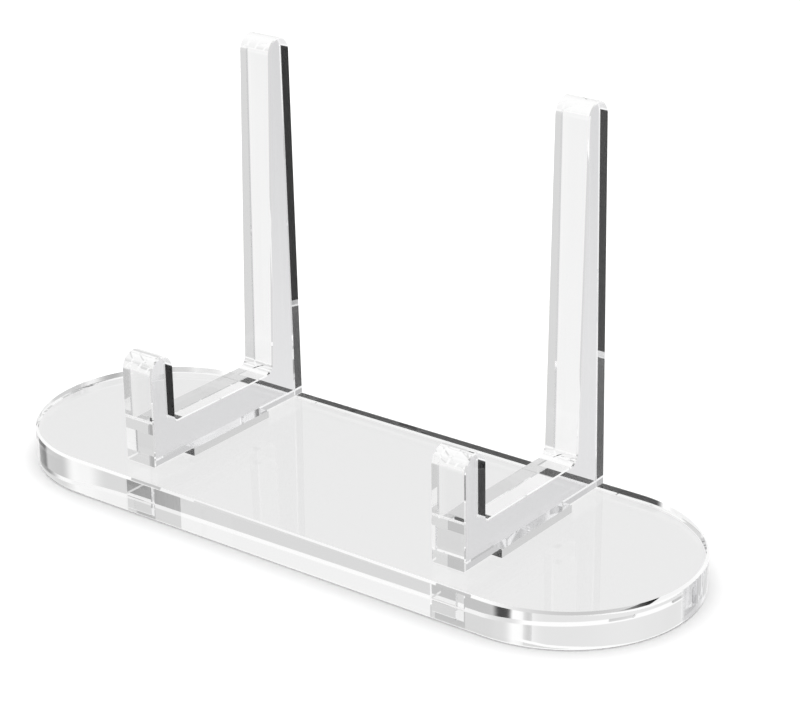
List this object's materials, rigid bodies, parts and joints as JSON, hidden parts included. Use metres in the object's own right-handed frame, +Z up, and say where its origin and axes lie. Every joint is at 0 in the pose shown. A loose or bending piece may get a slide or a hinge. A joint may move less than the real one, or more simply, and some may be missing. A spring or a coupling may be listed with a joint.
{
  "type": "plate display stand",
  "caption": "Clear acrylic plate display stand: a round-ended base carrying plug-in brackets, each with a short front lip, a low bar and a tall tapering back post.",
  "frame": {"origin": "middle of the base plate's underside, on the surface that the stand rests on", "axes": "+X along the base plate to the right as seen from the front, +Y from the lips back to the posts, +Z up"},
  "size_m": [0.2, 0.069, 0.1123],
  "materials": {
    "base_acrylic": "clear cast acrylic sheet, faces glossy, edges and small chamfers diamond-polished",
    "bracket_acrylic": "clear cast acrylic sheet, faces glossy, edges and small chamfers diamond-polished"
  },
  "bodies": {
    "base": {"base_plate": "base_acrylic"},
    "left_bracket": {"left_bracket": "bracket_acrylic"},
    "right_bracket": {"right_bracket": "bracket_acrylic"}
  },
  "joints": [
    {"name": "left_bracket_lift", "type": "slide", "parent": "base", "child": "left_bracket", "axis": [0, 0, 1], "range_m": [0, 0.01]},
    {"name": "right_bracket_lift", "type": "slide", "parent": "base", "child": "right_bracket", "axis": [0, 0, 1], "range_m": [0, 0.01]}
  ]
}
